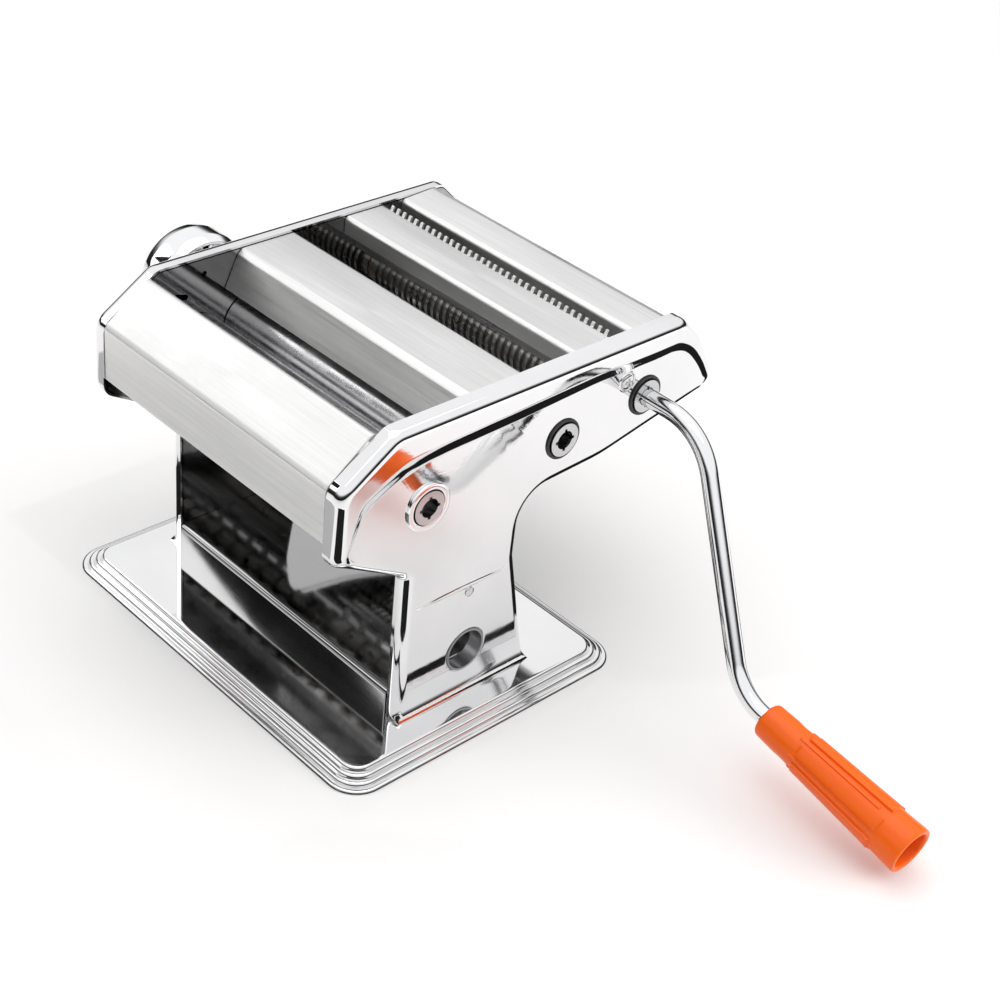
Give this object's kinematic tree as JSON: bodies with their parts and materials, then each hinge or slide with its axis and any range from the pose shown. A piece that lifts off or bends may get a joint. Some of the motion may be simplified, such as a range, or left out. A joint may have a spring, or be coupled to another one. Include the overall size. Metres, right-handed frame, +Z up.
{
  "type": "pasta roller machine",
  "caption": "Hand-cranked chrome pasta machine with smooth sheet rollers, wide and fine noodle cutters, a thickness knob and a crank with a free-spinning grip.",
  "frame": {"origin": "centre of the base underside, on the surface the machine stands on", "axes": "+X along the rollers to the crank side, +Y from the dough side to the cutter side, +Z up"},
  "size_m": [0.3935, 0.2121, 0.1523],
  "materials": {
    "base_chrome": "mirror-polished pressed sheet",
    "rubber": "matte",
    "screw_steel": "plated steel",
    "polished_sheet": "polished sheet",
    "panel_chrome": "mirror-polished pressed sheet",
    "rod_steel": "plain steel",
    "screw_chrome": "plated steel",
    "brushed_sheet": "satin sheet",
    "bush_bronze": "sintered bronze",
    "bezel_chrome": "polished",
    "black_plastic": "satin",
    "roller_steel": "ground and nickel-plated",
    "gear_steel": "sintered steel",
    "socket_steel": "turned and plated",
    "white_nylon": "matte",
    "knob_chrome": "polished",
    "cutter_steel": "turned and plated",
    "crank_chrome": "bright plated rod",
    "orange_plastic": "satin moulded"
  },
  "bodies": {
    "chassis": {"base_plate": "base_chrome", "rubber_feet": "rubber", "base_screws": "screw_steel", "tie_plate": "polished_sheet", "right_side_cover": "panel_chrome", "left_side_cover": "panel_chrome", "right_frame": "polished_sheet", "left_frame": "polished_sheet", "tie_rods": "rod_steel", "tie_rod_screws": "screw_steel", "cover_screws": "screw_chrome", "column_rivets": "screw_chrome", "clamp_sleeve": "rod_steel", "front_cover": "brushed_sheet", "rear_cover": "brushed_sheet", "sheet_feed_plate": "brushed_sheet", "cutter_feed_plate": "brushed_sheet", "front_scraper": "rod_steel", "rear_scraper": "rod_steel", "wide_combs": "rod_steel", "fine_combs": "rod_steel", "frame_bushes": "bush_bronze", "smooth_bezel": "bezel_chrome", "cutter_bezels": "black_plastic", "dial_collar": "knob_chrome", "detent_pin": "screw_steel"},
    "smooth_drive": {"smooth_drive_roller": "roller_steel", "smooth_drive_gear": "gear_steel", "smooth_socket": "socket_steel"},
    "gap_carrier": {"roller_bushes": "white_nylon"},
    "smooth_idler": {"smooth_idler_roller": "roller_steel", "smooth_idler_gear": "gear_steel"},
    "adjuster": {"eccentric_shaft": "rod_steel", "shaft_screw": "screw_steel", "knob_spring": "screw_steel"},
    "knob": {"knob": "knob_chrome", "knob_cap": "knob_chrome"},
    "wide_drive": {"wide_drive_cutter": "cutter_steel", "wide_drive_gear": "gear_steel", "wide_socket": "socket_steel"},
    "wide_idler": {"wide_idler_cutter": "cutter_steel", "wide_idler_gear": "gear_steel"},
    "fine_drive": {"fine_drive_cutter": "cutter_steel", "fine_drive_gear": "gear_steel", "fine_socket": "socket_steel"},
    "fine_idler": {"fine_idler_cutter": "cutter_steel", "fine_idler_gear": "gear_steel"},
    "crank": {"crank_rod": "crank_chrome", "grip_retainer": "screw_steel"},
    "grip": {"grip": "orange_plastic"}
  },
  "joints": [
    {"name": "smooth_drive_spin", "type": "hinge", "parent": "chassis", "child": "smooth_drive", "pos_m": [0, -0.0283, 0.1122], "axis": [1, 0, 0], "continuous": true},
    {"name": "knob_turn", "type": "hinge", "parent": "chassis", "child": "adjuster", "pos_m": [0, 0.0015, 0.115], "axis": [1, 0, 0], "range_deg": [0, 180]},
    {"name": "roller_gap", "type": "slide", "parent": "chassis", "child": "gap_carrier", "axis": [0, 1, 0], "range_m": [0, 0.0022]},
    {"name": "smooth_idler_spin", "type": "hinge", "parent": "gap_carrier", "child": "smooth_idler", "pos_m": [0, 0.0004, 0.115], "axis": [1, 0, 0], "continuous": true},
    {"name": "knob_pull", "type": "slide", "parent": "adjuster", "child": "knob", "axis": [-1, 0, 0], "range_m": [0, 0.004], "stiffness_N_per_m": 800, "springref_m": -0.004, "deforming": ["knob_spring"]},
    {"name": "wide_drive_spin", "type": "hinge", "parent": "chassis", "child": "wide_drive", "pos_m": [0, 0.0443, 0.1168], "axis": [1, 0, 0], "continuous": true},
    {"name": "wide_idler_spin", "type": "hinge", "parent": "chassis", "child": "wide_idler", "pos_m": [0, 0.0268, 0.1168], "axis": [1, 0, 0], "continuous": true},
    {"name": "fine_drive_spin", "type": "hinge", "parent": "chassis", "child": "fine_drive", "pos_m": [0, 0.0923, 0.1212], "axis": [1, 0, 0], "continuous": true},
    {"name": "fine_idler_spin", "type": "hinge", "parent": "chassis", "child": "fine_idler", "pos_m": [0, 0.0748, 0.1212], "axis": [1, 0, 0], "continuous": true},
    {"name": "crank_pull", "type": "slide", "parent": "fine_drive", "child": "crank", "axis": [1, 0, 0], "range_m": [0, 0.016]},
    {"name": "grip_spin", "type": "hinge", "parent": "crank", "child": "grip", "pos_m": [0.1704, 0.07263, 0.02867], "axis": [0.988, -0.0322, -0.1513], "continuous": true}
  ],
  "couplings": [
    {"joint": "smooth_idler_spin", "follows": "smooth_drive_spin", "ratio": -1},
    {"joint": "roller_gap", "follows": "knob_turn", "m_per_rad": 0.00070028},
    {"joint": "wide_idler_spin", "follows": "wide_drive_spin", "ratio": -1},
    {"joint": "fine_idler_spin", "follows": "fine_drive_spin", "ratio": -1}
  ]
}
